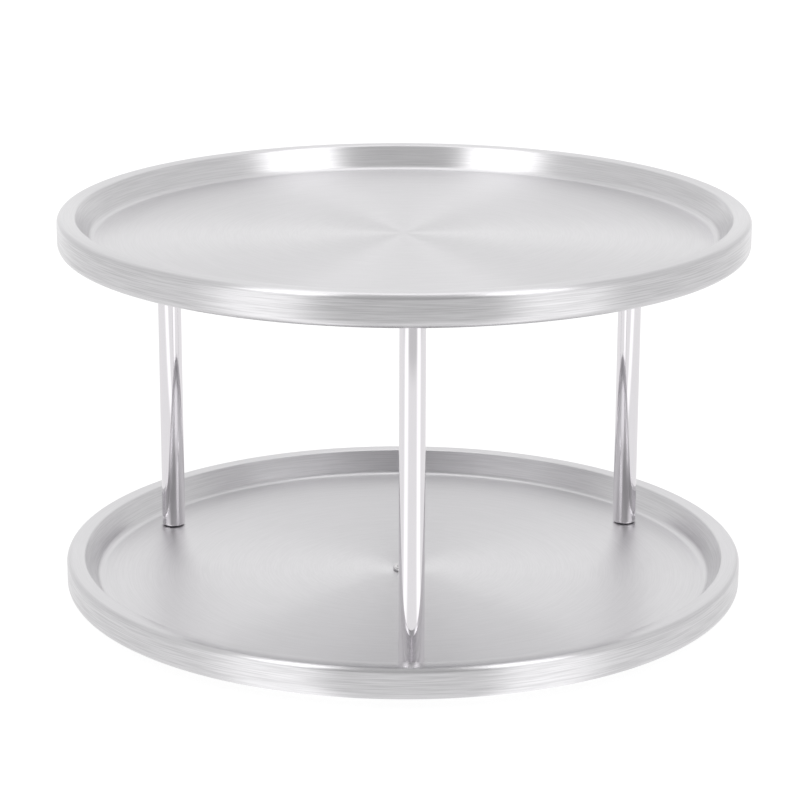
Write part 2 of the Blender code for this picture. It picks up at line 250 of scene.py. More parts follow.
@dataclass(frozen=True)
class Finish:
    """A metal or plastic surface with faint marks of handling."""

    name: str
    colour: tuple[float, float, float]
    roughness: float
    metallic: float = 1.0
    smudge: float = 0.04
    smudge_scale: float = 60.0
    grain: float = 0.0
    grain_scale: float = 900.0
    grain_depth: float = 0.0001

    def material(self) -> bpy.types.Material:
        """Makes the material once, and gives the same one after that.

        Returns:
            The material of this finish.
        """
        made = bpy.data.materials.get(self.name)
        if made is None:
            made = bpy.data.materials.new(self.name)
            made.use_nodes = True
            self.draw(NodeSheet(made.node_tree))
        return made

    def draw(self, sheet: NodeSheet) -> None:
        """Writes the nodes: even colour, blurred smudges, and a fine grain if it has one.

        Args:
            sheet: The material's empty sheet.
        """
        point = sheet.place()[0]
        smudges = sheet.noise(point, self.smudge_scale, 3.0)
        darker = tuple(channel * (1.0 - 2.0 * self.smudge) for channel in self.colour)
        colour = sheet.blend(smudges, (*self.colour, 1.0), (*darker, 1.0))
        roughness = smudges * (2.0 * self.smudge) + (self.roughness - self.smudge)
        sockets = {"Base Color": colour, "Roughness": roughness, "Metallic": self.metallic}
        if self.grain:
            height = sheet.noise(point, self.grain_scale)
            bump = {"Height": height, "Strength": self.grain, "Distance": self.grain_depth}
            sockets["Normal"] = sheet.add("ShaderNodeBump", None, bump).outputs[0]
        self.finish_with(sheet, sockets)

    def finish_with(self, sheet: NodeSheet, sockets: dict[str, object]) -> None:
        """Adds the shader and the output."""
        shader = sheet.add("ShaderNodeBsdfPrincipled", None, sockets)
        sheet.add("ShaderNodeOutputMaterial", None, {"Surface": shader.outputs[0]})


@dataclass(frozen=True)
class BrushedFinish(Finish):
    """Steel brushed in circles about the turning axis.

    Strokes are packed "across" to the metre and break "along" times a turn. A band is as
    wide and as long as several strokes. The streaks are the real brushing, but they are eased
    on a flat floor by a share of their darkening, which is painted shading by the face's tilt.
    """

    anisotropy: float = 0.90
    anisotropy_turn: float = 0.25
    across: float = 2600.0
    along: float = 7.0
    band_width: float = 9.0
    band_length: float = 4.0
    band_share: float = 0.2
    streak_depth: float = 0.2
    streak_from: float = 0.35
    streak_to: float = 0.65
    # Share of the streaks' darkening that an upward face loses: painted shading by tilt, so floors come
    # out lighter than walls.
    flat_painted_shade_ease: float = 0.77
    axis_clearance: float = 0.0004

    def strokes(self, sheet: NodeSheet, across: float, along: float, detail: float) -> Value:
        """Noise drawn out round the axis.

        Args:
            sheet: The sheet to draw on.
            across: How closely the strokes lie, per metre.
            along: How often they break, per turn.
            detail: The noise's octaves.

        Returns:
            A value about 0.5 on average.
        """
        _, x, y, z = sheet.place()
        radius = (x * x + y * y).root().at_least(self.axis_clearance)
        sockets = {0: radius * across, 1: z * across, 2: x / radius * along}
        vector = sheet.add("ShaderNodeCombineXYZ", None, sockets).outputs[0]
        settings = {"noise_dimensions": "4D"}
        inputs = {"Vector": vector, "W": y / radius * along, "Scale": 1.0, "Detail": detail}
        return sheet.value("ShaderNodeTexNoise", settings, inputs)

    def draw(self, sheet: NodeSheet) -> None:
        """Writes the nodes: fine strokes, broader bands, and a shallow groove for each stroke.

        Args:
            sheet: The material's empty sheet.
        """
        fine = self.strokes(sheet, self.across, self.along, 3.0)
        across, along = self.across / self.band_width, self.along / self.band_length
        bands = self.strokes(sheet, across, along, 2.0)
        mark = fine * (1.0 - self.band_share) + bands * self.band_share
        darker = tuple(channel * (1.0 - self.streak_depth) for channel in self.colour)
        normal = sheet.add("ShaderNodeNewGeometry").outputs["True Normal"]
        flat = abs(Value(sheet, sheet.add("ShaderNodeSeparateXYZ", None, {0: normal}).outputs[2]))
        # Painted shading: the streaks fade on upward faces by the true normal, so a floor is lighter
        # and plainer than a wall.
        share = mark.step(self.streak_from, self.streak_to) * (1.0 - flat * self.flat_painted_shade_ease)
        colour = sheet.blend(share, (*self.colour, 1.0), (*darker, 1.0))
        roughness = mark * (2.0 * self.smudge) + (self.roughness - self.smudge)
        bump = {"Height": fine, "Strength": self.grain, "Distance": self.grain_depth}
        normal = sheet.add("ShaderNodeBump", None, bump).outputs[0]
        sockets = {
            "Base Color": colour,
            "Roughness": roughness,
            "Metallic": self.metallic,
            "Anisotropic": self.anisotropy,
            "Anisotropic Rotation": self.anisotropy_turn,
            "Normal": normal,
        }
        self.finish_with(sheet, sockets)


BRUSHED = BrushedFinish("brushed_steel", (0.748, 0.741, 0.756), 0.29, grain=0.10, smudge=0.02)
POLISHED = Finish("polished_tube", (0.81, 0.79, 0.815), 0.05, smudge=0.015)
ROLLED = BrushedFinish("cold_rolled_steel", (0.56, 0.56, 0.57), 0.36, grain=0.08, anisotropy=0.4)
PLATED = Finish("zinc_plate", (0.62, 0.63, 0.66), 0.28, smudge=0.06, smudge_scale=400.0)
RIVETED = Finish("formed_rivet", (0.74, 0.73, 0.74), 0.16, smudge=0.05, smudge_scale=500.0)
GROUND = Finish("ground_ball", (0.72, 0.72, 0.73), 0.07, smudge=0.02, smudge_scale=500.0)
RUBBER = Finish("moulded_rubber", (0.028, 0.028, 0.030), 0.62, 0.0, 0.05, 300.0, grain=0.35)
NYLON = Finish("natural_nylon", (0.78, 0.77, 0.72), 0.42, 0.0, 0.03, 200.0, grain=0.1)


# ---------------------------------------------------------------- shapes


class Section:
    """A radius-and-height outline made of straight runs and rounded corners."""

    ARC_STEP = math.radians(9)
    SUPPORT = 0.00012
    SHORTEST_RUN = 4.0 * SUPPORT

    def __init__(self) -> None:
        """Starts an empty outline."""
        self.corners: list[tuple[float, float, float]] = []

    def to(self, radius: float, height: float, fillet: float = 0.0) -> "Section":
        """Adds a corner.

        Args:
            radius: The corner's distance from the axis.
            height: The corner's height.
            fillet: The radius that rounds it, or 0 for a sharp one.

        Returns:
            The section, so that calls can be chained.
        """
        self.corners.append((radius, height, fillet))
        return self

    def points(self) -> list[Vector]:
        """Works out the outline, with every rounded corner as an arc.

        A straight run gets a point close to each of its ends, so that smooth shading doesn't
        carry a corner's turn along it.

        Returns:
            The outline's points, in the XZ plane.
        """
        made: list[Vector] = []
        for index, (radius, height, fillet) in enumerate(self.corners):
            corner = self._arc(index) if fillet else [Vector((radius, 0.0, height))]
            if made:
                run = corner[0] - made[-1]
                if run.length > self.SHORTEST_RUN:
                    inset = run.normalized() * self.SUPPORT
                    made.extend((made[-1] + inset, corner[0] - inset))
            made.extend(corner)
        return made

    def _arc(self, index: int) -> list[Vector]:
        """Rounds one corner.

        Args:
            index: Which corner.

        Returns:
            The arc's points, in the XZ plane.
        """
        radius, height, fillet = self.corners[index]
        before, after = self.corners[index - 1], self.corners[(index + 1) % len(self.corners)]
        into = math.atan2(height - before[1], radius - before[0])
        out = math.atan2(after[1] - height, after[0] - radius)
        turn = (out - into + math.pi) % (2.0 * math.pi) - math.pi
        side = math.copysign(1.0, turn)
        back = fillet * math.tan(abs(turn) / 2.0)
        middle_radius = radius - back * math.cos(into) - side * fillet * math.sin(into)
        middle_height = height - back * math.sin(into) + side * fillet * math.cos(into)
        steps = max(2, math.ceil(abs(turn) / self.ARC_STEP))
        made = []
        for step in range(steps + 1):
            angle = into - side * math.pi / 2.0 + turn * step / steps
            along, up = fillet * math.cos(angle), fillet * math.sin(angle)
            made.append(Vector((middle_radius + along, 0.0, middle_height + up)))
        return made


def spin(points: list[Vector], steps: int, closed: bool = False) -> bmesh.types.BMesh:
    """Turns an outline about the Z axis.

    Args:
        points: The outline, in the XZ plane.
        steps: How many sides the round piece gets.
        closed: True for a ring's section, which joins up with itself.

    Returns:
        The turned mesh, its seam and poles merged and its faces pointing out.
    """
    shape = bmesh.new()
    verts = [shape.verts.new(point) for point in points]
    edges = [shape.edges.new(pair) for pair in zip(verts, verts[1:])]
    if closed:
        edges.append(shape.edges.new((verts[-1], verts[0])))
    bmesh.ops.spin(
        shape,
        geom=verts + edges,
        cent=(0.0, 0.0, 0.0),
        axis=UP,
        angle=2.0 * math.pi,
        steps=steps,
        use_merge=True,
    )
    bmesh.ops.remove_doubles(shape, verts=shape.verts, dist=WELD)
    bmesh.ops.dissolve_degenerate(shape, edges=shape.edges, dist=WELD)
    bmesh.ops.recalc_face_normals(shape, faces=shape.faces)
    return shape


def pierce(shape: bmesh.types.BMesh, tool: bmesh.types.BMesh) -> bmesh.types.BMesh:
    """Cuts one mesh out of another.

    Args:
        shape: The mesh that is cut. It is used up.
        tool: The mesh that cuts. It is used up.

    Returns:
        What is left of the first.
    """
    drafts = []
    for source in (shape, tool):
        mesh = bpy.data.meshes.new("draft")
        source.to_mesh(mesh)
        source.free()
        draft = bpy.data.objects.new("draft", mesh)
        bpy.context.scene.collection.objects.link(draft)
        drafts.append(draft)
    piece, cutter = drafts
    cut = piece.modifiers.new("cut", "BOOLEAN")
    cut.operation = "DIFFERENCE"
    cut.solver = "EXACT"
    cut.object = cutter
    made = bmesh.new()
    made.from_object(piece, bpy.context.evaluated_depsgraph_get())
    for draft in drafts:
        bpy.data.meshes.remove(draft.data)
    return made


def drills(radius: float, low: float, high: float, places: Iterable[Vector]) -> bmesh.types.BMesh:
    """Upright cylinders to cut holes with.

    Args:
        radius: Each hole's radius.
        low: Where the cylinders start.
        high: Where they end.
        places: The holes' middles.

    Returns:
        The cylinders as one mesh.
    """
    shape = bmesh.new()
    for place in places:
        made = bmesh.ops.create_cone(
            shape, cap_ends=True, segments=DRILL_SIDES, radius1=radius, radius2=radius, depth=high - low
        )
        middle = Vector((place.x, place.y, (low + high) / 2.0))
        bmesh.ops.translate(shape, verts=made["verts"], vec=middle)
    return shape


def sheet_metal(points: list[Vector], steps: int, thickness: float) -> bmesh.types.BMesh:
    """Turns an open outline and gives it a wall.

    Args:
        points: The outline of the outer face, from the axis outwards.
        steps: How many sides the round piece gets.
        thickness: The wall, which goes behind the outer face.

    Returns:
        The closed shell.
    """
    shape = spin(points, steps)
    middle = min(shape.faces, key=lambda face: face.calc_center_median().xy.length)
    middle.normal_update()
    if middle.normal.z < 0.0:
        bmesh.ops.reverse_faces(shape, faces=shape.faces)
    bmesh.ops.solidify(shape, geom=shape.faces, thickness=thickness)
    return shape


def turned_ring(
    inner: float, outer: float, low: float, high: float, edge: float, steps: int
) -> bmesh.types.BMesh:
    """Turns a flat ring with broken edges.

    Args:
        inner: The radius of its hole.
        outer: Its own radius.
        low: The height of its underside.
        high: The height of its top.
        edge: The radius of its edges.
        steps: How many sides it gets.

    Returns:
        The closed ring.
    """
    section = Section().to(inner, high, edge).to(outer, high, edge)
    section.to(outer, low, edge).to(inner, low, edge)
    return spin(section.points(), steps, closed=True)


@dataclass
class Piece:
    """One finished piece: its name, its mesh, what it rides on and what it stands for."""

    name: str
    shape: bmesh.types.BMesh
    finish: Finish
    body: str
    slot: Slot
    stands_for: tuple[str, ...] = ()
    place: Vector = Vector()
    sharp_above: float = math.radians(32)

    def settle(self) -> bpy.types.Object:
        """Makes the object, with its place in its mesh, and hands it to the frame.

        Returns:
            The finished object, at the origin and riding on its body.
        """
        bmesh.ops.translate(self.shape, verts=self.shape.verts, vec=self.place)
        mesh = bpy.data.meshes.new(self.name)
        self.shape.to_mesh(mesh)
        self.shape.free()
        mesh.shade_smooth()
        mesh.set_sharp_from_angle(angle=self.sharp_above)
        mesh.materials.append(self.finish.material())
        made = bpy.data.objects.new(self.name, mesh)
        bpy.context.scene.collection.objects.link(made)
        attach(made, self.body)
        if self.stands_for:
            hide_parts(*self.stands_for)
        log.info("%s: %d faces, on %s", self.name, len(mesh.polygons), self.body)
        return made


def box_of(node: str) -> tuple[Vector, Vector, Vector]:
    """A node's lowest corner, highest corner and middle."""
    low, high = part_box(node)
    return low, high, (low + high) / 2.0


# ---------------------------------------------------------------- sub-assemblies


@dataclass
class Tray:
    """One pressed pan: a flat floor, a sloping inner wall, a crowned rim and a rolled hem."""

    node: str
    dimpled: bool
    floor_rise: float = 0.00325
    floor_radius: float = 0.1209
    rim_inner_radius: float = 0.1266
    crown_radius: float = 0.1296
    inner_drop: float = 0.0003
    shoulder_drop: float = 0.00035
    hem_radius: float = 0.1293
    floor_fillet: float = 0.0034
    inner_fillet: float = 0.0012
    crown_fillet: float = 0.012
    shoulder_fillet: float = 0.0022
    hem_fillet: float = 0.0029
    thickness: float = 0.0007
    hole_radius: float = 0.00215
    dimple_depth: float = 0.0011
    dimple_floor_radius: float = 0.0085
    dimple_radius: float = 0.0185
    dimple_fillet: float = 0.03
    screw_hole_radius: float = 0.0028
    screw_hole_reach: float = 0.001
    floor_rings: int = 5
    ring_inset: float = 0.004
    sides: int = 288

    def outline(self) -> Section:
        """Draws the pan's outer face, from its middle, over the rim and under the hem.

        Returns:
            The open outline.
        """
        low, high, _ = box_of(self.node)
        bottom, top, radius = low.z, high.z, high.x
        floor = bottom + self.floor_rise
        section = Section()
        if self.dimpled:
            sunk = floor - self.dimple_depth
            section.to(self.hole_radius, sunk)
            section.to(self.dimple_floor_radius, sunk, self.dimple_fillet)
            section.to(self.dimple_radius, floor, self.dimple_fillet)
        else:
            section.to(0.0, floor)
        for ring in range(1, self.floor_rings + 1):
            section.to(self.floor_radius * ring / self.floor_rings - self.ring_inset, floor)
        section.to(self.floor_radius, floor, self.floor_fillet)
        section.to(self.rim_inner_radius, top - self.inner_drop, self.inner_fillet)
        section.to(self.crown_radius, top, self.crown_fillet)
        section.to(radius, top - self.shoulder_drop, self.shoulder_fillet)
        section.to(radius, bottom, self.hem_fillet)
        section.to(self.hem_radius, bottom)
        return section

    def build(self) -> None:
        """Makes the pan."""
        shape = sheet_metal(self.outline().points(), self.sides, self.thickness)
        if self.dimpled:
            floor = box_of(self.node)[0].z + self.floor_rise
            low, high = floor - self.thickness - self.screw_hole_reach, floor + self.screw_hole_reach
            places = [box_of(f"post_{number}")[2] for number in range(1, POST_COUNT + 1)]
            shape = pierce(shape, drills(self.screw_hole_radius, low, high, places))
        name = self.node.replace("tray", "pan")
        Piece(name, shape, BRUSHED, Body.TURNTABLE.value, Slot.BRUSHED, (self.node,)).settle()


@dataclass(frozen=True)
class Thread:
    """A machine screw's thread, as close-set ridges.

    The last three fields are shares of the pitch: where a ridge's slope starts, where its
    crest starts and where its crest ends.
    """

    radius: float = 0.0024
    depth: float = 0.0003
    pitch: float = 0.0008
    slope_start: float = 0.1
    crest_start: float = 0.45
    crest_end: float = 0.65

    def ridges(self, section: Section, start: float, end: float) -> None:
        """Adds the ridges to an outline, from one height to another.

        Args:
            section: The outline, which the ridges go on with.
            start: The height of the first ridge's foot.
            end: The height that the last ridge stops short of.
        """
        way = math.copysign(self.pitch, end - start)
        for turn in range(int(abs(end - start) / self.pitch)):
            foot = start + way * turn
            section.to(self.radius - self.depth, foot + way * self.slope_start)
            section.to(self.radius, foot + way * self.crest_start)
            section.to(self.radius, foot + way * self.crest_end)
        section.to(self.radius - self.depth, end)


@dataclass
class Posts:
    """The polished tubes, and the plugs, studs, screws and washers that hold them."""

    wall: float = 0.0007
    lip: float = 0.0006
    sides: int = 96
    small_sides: int = 64
    edge: float = 0.0002
    bore: float = 0.00265
    washer_bore: float = 0.0028
    flange_height: float = 0.0006
    head_height: float = 0.0024
    head_fillet: float = 0.0014
    slot_length: float = 0.005
    slot_width: float = 0.0011
    slot_depth: float = 0.0013
    thread: Thread = Thread()

    def build(self) -> None:
        """Makes the three tubes and their fixings."""
        for number in range(1, POST_COUNT + 1):
            self.build_tube(f"post_{number}")
            self.build_ring(f"upper_insert_{number}", "upper_plug", self.bore)
            self.build_ring(f"lower_insert_{number}", "lower_plug", self.bore)
            self.build_ring(f"screw_washer_{number}", "flat_washer", self.washer_bore)
            self.build_stud(f"stud_{number}")
            self.build_screw(f"screw_{number}")

    def build_tube(self, node: str) -> None:
        """Makes one tube, its ends rounded over.

        Args:
            node: The post's node.
        """
        low, high, middle = box_of(node)
        radius = max(high.x - low.x, high.y - low.y) / 2.0
        section = Section()
        section.to(radius - self.wall, high.z, self.lip / 3.0)
        section.to(radius, high.z, self.lip / 2.0)
        section.to(radius, low.z, self.lip)
        section.to(radius - self.wall, low.z, self.lip / 3.0)
        shape = spin(section.points(), self.sides, closed=True)
        self.add(node, "tube", shape, POLISHED, Slot.POLISHED, middle)

    def add(
        self,
        node: str,
        word: str,
        shape: bmesh.types.BMesh,
        finish: Finish,
        slot: Slot,
        middle: Vector,
    ) -> None:
        """Settles one piece that turns with the trays.

        Args:
            node: The node that it stands for.
            word: Its name, which the node's number goes after.
            shape: Its mesh, turned about the Z axis.
            finish: What it is dressed in.
            slot: Its material slot.
            middle: The middle of its node.
        """
        place = Vector((middle.x, middle.y, 0.0))
        name = f"{word}_{node.rsplit('_', 1)[1]}"
        Piece(name, shape, finish, Body.TURNTABLE.value, slot, (node,), place).settle()

    def build_ring(self, node: str, word: str, bore: float) -> None:
        """Makes a plug or a washer, its edges broken.

        Args:
            node: The node that it stands for.
            word: Its name.
            bore: The radius of its hole.
        """
        low, high, middle = box_of(node)
        shape = turned_ring(bore, (high.x - low.x) / 2.0, low.z, high.z, self.edge, self.small_sides)
        self.add(node, word, shape, PLATED, Slot.PLATED, middle)

    def build_stud(self, node: str) -> None:
        """Makes one threaded stud with its welding flange.

        Args:
            node: The stud's node.
        """
        low, high, middle = box_of(node)
        radius = (high.x - low.x) / 2.0
        under = high.z - self.flange_height
        section = Section().to(0.0, high.z).to(radius, high.z, self.edge).to(radius, under, self.edge)
        section.to(self.thread.radius - self.thread.depth, under)
        self.thread.ridges(section, under, low.z + 2.0 * self.edge)
        section.to(self.thread.radius - self.thread.depth, low.z, self.edge).to(0.0, low.z)
        shape = spin(section.points(), self.small_sides)
        self.add(node, "threaded_stud", shape, PLATED, Slot.PLATED, middle)

    def build_screw(self, node: str) -> None:
        """Makes one pan-head screw with a cross recess.

        Args:
            node: The screw's node.
        """
        low, high, middle = box_of(node)
        radius = (high.x - low.x) / 2.0
        top = low.z + self.head_height
        root = self.thread.radius - self.thread.depth
        section = Section().to(0.0, high.z).to(root, high.z, self.edge)
        self.thread.ridges(section, high.z - 2.0 * self.edge, top)
        section.to(radius, top, self.edge).to(radius, low.z, self.head_fillet).to(0.0, low.z)
        shape = spin(section.points(), self.small_sides)
        for size in ((self.slot_length, self.slot_width), (self.slot_width, self.slot_length)):
            tool = bmesh.new()
            bmesh.ops.create_cube(tool, size=1.0)
            bmesh.ops.scale(tool, verts=tool.verts, vec=(*size, 2.0 * self.slot_depth))
            bmesh.ops.translate(tool, verts=tool.verts, vec=(0.0, 0.0, low.z))
            shape = pierce(shape, tool)
        self.add(node, "pan_screw", shape, PLATED, Slot.PLATED, middle)


@dataclass
class Base:
    """The still part: the base plate, its feet, and the pivot's washer and rivet."""

    sheet: float = 0.0008
    plate_top: float = 0.00345
    hub_radius: float = 0.010
    hub_foot_radius: float = 0.015
    hub_fillet: float = 0.0012
    ball_circle: float = 0.055
    groove_half_width: float = 0.00196
    groove_corner_drop: float = 0.00321
    groove_radius: float = 0.00228
    edge_fillet: float = 0.0012
    hole_radius: float = 0.00215
    foot_count: int = 4
    foot_hole_radius: float = 0.0031
    foot_neck_radius: float = 0.0028
    foot_head_radius: float = 0.0043
    foot_head_height: float = 0.0012
    foot_gap: float = 0.0003
    foot_edge: float = 0.0006
    rivet_radius: float = 0.002
    rivet_head_height: float = 0.0013
    rivet_head_fillet: float = 0.0009
    rivet_foot_radius: float = 0.0038
    rivet_foot_height: float = 0.0009
    rivet_foot_fillet: float = 0.0005
    rivet_edge: float = 0.0002
    recess_radius: float = 0.0019
    recess_depth: float = 0.0009
    recess_fillet: float = 0.0003
    recess_slope: float = 0.0005
    recess_lip: float = 0.0004
    sides: int = 192
    small_sides: int = 64

    def build(self) -> None:
        """Makes the base's pieces."""
        self.build_plate()
        self.build_pivot()
        for number in range(1, self.foot_count + 1):
            self.build_foot(number)

    def build_plate(self) -> None:
        """Presses the plate, with its hub, its ball groove and the holes for the feet."""
        low, high, _ = box_of("base_plate")
        top = self.plate_top
        section = Section().to(self.hole_radius, high.z)
        section.to(self.hub_radius, high.z, self.hub_fillet)
        section.to(self.hub_foot_radius, top, self.hub_fillet)
        section.to(self.ball_circle - self.groove_half_width, top)
        section.to(self.ball_circle, top - self.groove_corner_drop, self.groove_radius)
        section.to(self.ball_circle + self.groove_half_width, top)
        section.to(high.x, top, self.edge_fillet).to(high.x, low.z)
        shape = sheet_metal(section.points(), self.sides, self.sheet)
        feet = [box_of(f"foot_{number}")[2] for number in range(1, self.foot_count + 1)]
        reach = 2.0 * self.sheet
        shape = pierce(shape, drills(self.foot_hole_radius, top - reach, top + self.sheet, feet))
        self.add("base_plate", "swivel_plate", shape, ROLLED, Slot.BASE)

    def build_pivot(self) -> None:
        """Makes the nylon washer and the rivet, its upper head rolled round a recess."""
        low, high, _ = box_of("pivot_washer")
        edge = (high.z - low.z) / 4.0
        shape = turned_ring(self.hole_radius, high.x, low.z, high.z, edge, self.small_sides)
        self.add("pivot_washer", "nylon_washer", shape, NYLON, Slot.NYLON)

        low, high, _ = box_of("pivot_rivet")
        under = high.z - self.rivet_head_height
        floor = high.z - self.recess_depth
        foot = low.z + self.rivet_foot_height
        section = Section().to(0.0, floor).to(self.recess_radius, floor, self.recess_fillet)
        section.to(self.recess_radius + self.recess_slope, high.z, self.recess_lip)
        section.to(high.x, high.z, self.rivet_head_fillet).to(high.x, under, self.rivet_edge)
        section.to(self.rivet_radius, under).to(self.rivet_radius, foot)
        section.to(self.rivet_foot_radius, foot, self.rivet_edge)
        section.to(self.rivet_foot_radius, low.z, self.rivet_foot_fillet).to(0.0, low.z)
        shape = spin(section.points(), self.small_sides)
        self.add("pivot_rivet", "rolled_rivet", shape, RIVETED, Slot.RIVET)

    def build_foot(self, number: int) -> None:
        """Moulds one push-in foot: a pad, a neck through the plate and a head above it.

        Args:
            number: Which foot.
        """
        node = f"foot_{number}"
        low, high, middle = box_of(node)
        radius = max(high.x - low.x, high.y - low.y) / 2.0
        under = high.z - self.foot_head_height
        pad = self.plate_top - self.sheet - self.foot_gap
        section = Section().to(0.0, high.z)
        section.to(self.foot_head_radius - self.foot_edge, high.z, self.foot_gap)
        section.to(self.foot_head_radius, under, self.foot_gap / 2.0)
        section.to(self.foot_neck_radius, under).to(self.foot_neck_radius, pad)
        section.to(radius, pad, self.foot_gap).to(radius, low.z, self.foot_edge).to(0.0, low.z)
        shape = spin(section.points(), self.small_sides)
        self.add(node, f"pad_{number}", shape, RUBBER, Slot.RUBBER, middle)

    def add(
        self,
        node: str,
        name: str,
        shape: bmesh.types.BMesh,
        finish: Finish,
        slot: Slot,
        middle: Vector = Vector(),
    ) -> None:
        """Settles one piece that stands still.

        Args:
            node: The node that it stands for.
            name: Its name.
            shape: Its mesh, turned about the Z axis.
            finish: What it is dressed in.
            slot: Its material slot.
            middle: Where it stands, if that isn't the axis.
        """
        place = Vector((middle.x, middle.y, 0.0))
        Piece(name, shape, finish, Body.BASE.value, slot, (node,), place).settle()


@dataclass
class Bearing:
    """The race ring, the cage and the balls."""

    sheet: float = 0.0008
    groove_half_width: float = 0.001296
    groove_corner_rise: float = 0.000884
    groove_radius: float = 0.00229
    pocket_radius: float = 0.00215
    cage_edge: float = 0.0002
    ball_count: int = 12
    ball_segments: int = 48
    ball_rings: int = 24
    sides: int = 192

    def build(self) -> None:
        """Makes the bearing's pieces."""
        balls = [box_of(f"ball_{number:02d}") for number in range(1, self.ball_count + 1)]
        circle = balls[0][2].x
        self.build_race(circle)
        self.build_cage([middle for _, _, middle in balls])
        for number, (low, high, middle) in enumerate(balls, start=1):
            shape = bmesh.new()
            bmesh.ops.create_uvsphere(
                shape,
                u_segments=self.ball_segments,
                v_segments=self.ball_rings,
                radius=(high.z - low.z) / 2.0,
            )
            name, body = f"steel_ball_{number:02d}", f"rolling_ball_{number:02d}"
            node = f"ball_{number:02d}"
            Piece(name, shape, GROUND, body, Slot.BEARING, (node,), middle).settle()

    def build_race(self, circle: float) -> None:
        """Presses the grooved ring that is welded under the lower tray.

        Args:
            circle: The radius of the circle of balls.
        """
        low, high, _ = box_of("race_ring")
        section = Section().to(2.0 * circle - high.x, low.z)
        section.to(circle - self.groove_half_width, low.z)
        section.to(circle, low.z + self.groove_corner_rise, self.groove_radius)
        section.to(circle + self.groove_half_width, low.z).to(high.x, low.z)
        shape = spin(section.points(), self.sides)
        flat = max(shape.faces, key=lambda face: face.calc_area())
        if flat.normal.z > 0.0:
            bmesh.ops.reverse_faces(shape, faces=shape.faces)
        bmesh.ops.solidify(shape, geom=shape.faces, thickness=self.sheet)
        turntable = Body.TURNTABLE.value
        Piece("grooved_ring", shape, PLATED, turntable, Slot.PLATED, ("race_ring",)).settle()

    def build_cage(self, places: list[Vector]) -> None:
        """Moulds the cage, with a pocket for each ball.

        Args:
            places: The balls' middles.
        """
        low, high, _ = box_of("ball_cage")
        inner = 2.0 * places[0].x - high.x
        shape = turned_ring(inner, high.x, low.z, high.z, self.cage_edge, self.sides)
        reach = high.z - low.z
        tool = drills(self.pocket_radius, low.z - reach, high.z + reach, places)
        shape = pierce(shape, tool)
        Piece("pocketed_cage", shape, NYLON, Body.CAGE.value, Slot.NYLON, ("ball_cage",)).settle()


# ---------------------------------------------------------------- studio


